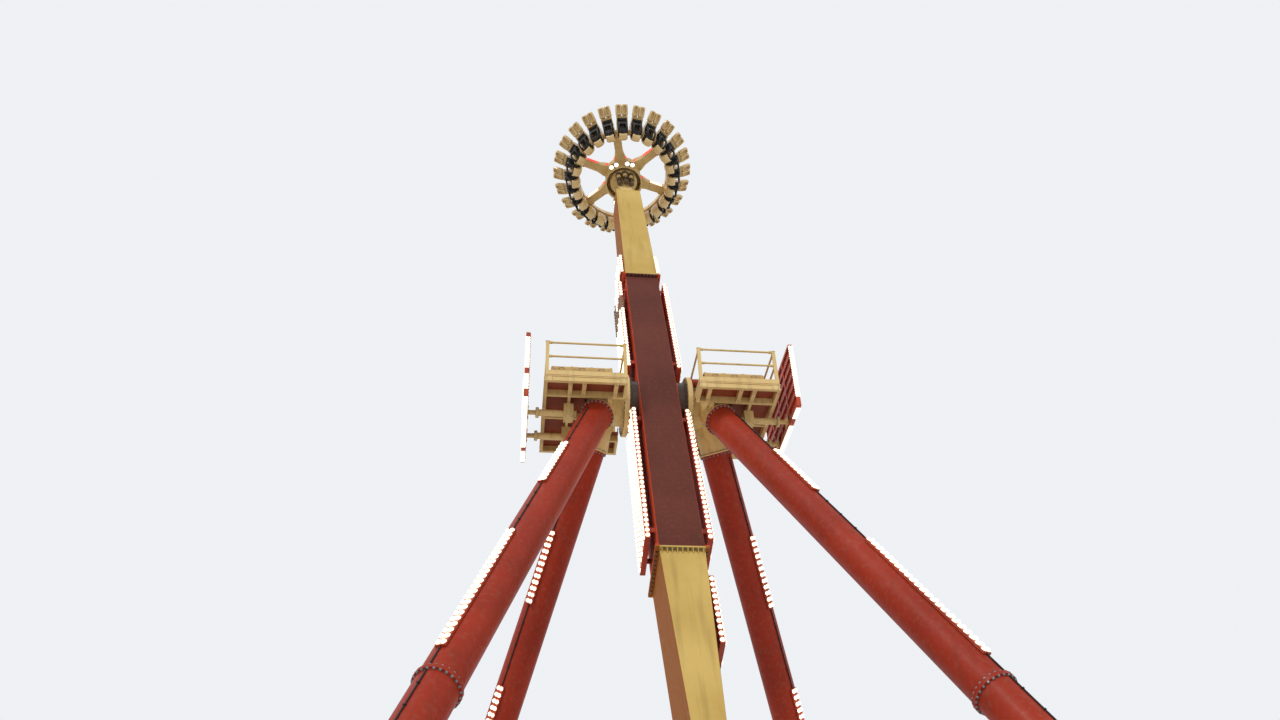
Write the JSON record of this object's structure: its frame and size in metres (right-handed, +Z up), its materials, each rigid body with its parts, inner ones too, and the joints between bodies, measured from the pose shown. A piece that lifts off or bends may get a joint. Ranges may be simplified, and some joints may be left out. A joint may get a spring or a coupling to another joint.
{
  "type": "looping pendulum ride",
  "caption": "Fairground pendulum ride: a four-legged stand carries a long counterweighted arm that turns full circle, with a spinning ring of outward-facing seats at its end.",
  "frame": {"origin": "on the ground under the middle of the main axle, midway between the four feet", "axes": "+Z up, +X along the main axle to the viewer's right, +Y to the rear, the way the arm's upper end leans at rest"},
  "size_m": [18.26, 24.48, 38.7526],
  "materials": {
    "stand_red": "gloss red coach paint on tube",
    "arm_red": "satin maroon-red paint",
    "arm_yellow": "satin cream-yellow paint",
    "cream_paint": "satin cream paint",
    "cover_cream": "satin cream paint on sheet",
    "deck_plate": "matt red-brown plate",
    "machine_red": "satin red machine paint",
    "panel_red": "satin red sheet",
    "machined_steel": "oiled machined steel",
    "galvanised": "galvanised plate",
    "seat_shell": "cream moulded shell",
    "seat_pad": "black coated cover",
    "restraint_foam": "black integral-skin foam",
    "lamp_lens": "lit clear lamp cap"
  },
  "bodies": {
    "stand": {"leg_left_front": "stand_red", "foot_left_front": "galvanised", "leg_left_rear": "stand_red", "foot_left_rear": "galvanised", "tower_head_left": "cream_paint", "slew_bearing_left": "machined_steel", "platform_left": "cream_paint", "deck_left": "deck_plate", "railing_left": "cream_paint", "gear_cover_left": "cover_cream", "drive_motors_left": "machine_red", "panel_carriers_left": "cream_paint", "lamp_panel_left": "panel_red", "leg_right_front": "stand_red", "foot_right_front": "galvanised", "leg_right_rear": "stand_red", "foot_right_rear": "galvanised", "tower_head_right": "cream_paint", "slew_bearing_right": "machined_steel", "platform_right": "cream_paint", "deck_right": "deck_plate", "railing_right": "cream_paint", "gear_cover_right": "cover_cream", "drive_motors_right": "machine_red", "panel_carriers_right": "cream_paint", "lamp_panel_right": "panel_red", "leg_lamp_bars": "panel_red"},
    "arm": {"pivot_hub_left": "machined_steel", "pivot_hub_right": "machined_steel", "arm_middle": "arm_red", "arm_upper": "arm_yellow", "arm_lower": "arm_yellow", "arm_lamp_boards_left": "panel_red", "arm_lamp_boards_right": "panel_red", "spin_drum": "cream_paint"},
    "gondola": {"gondola_hub": "cream_paint", "gondola_spokes": "cream_paint", "seat_bank_1": "seat_shell", "seat_bank_2": "seat_shell", "seat_bank_3": "seat_shell", "seat_bank_4": "seat_shell", "seat_bank_5": "seat_shell", "seat_bank_6": "seat_shell", "seat_pads": "seat_pad", "shoulder_restraints": "restraint_foam"}
  },
  "joints": [
    {"name": "arm_swing", "type": "hinge", "parent": "stand", "child": "arm", "pos_m": [0, 0, 20], "axis": [1, 0, 0], "continuous": true},
    {"name": "gondola_spin", "type": "hinge", "parent": "arm", "child": "gondola", "pos_m": [0, 5.86088, 37.16711], "axis": [0, 0.3231, 0.9464], "continuous": true}
  ]
}
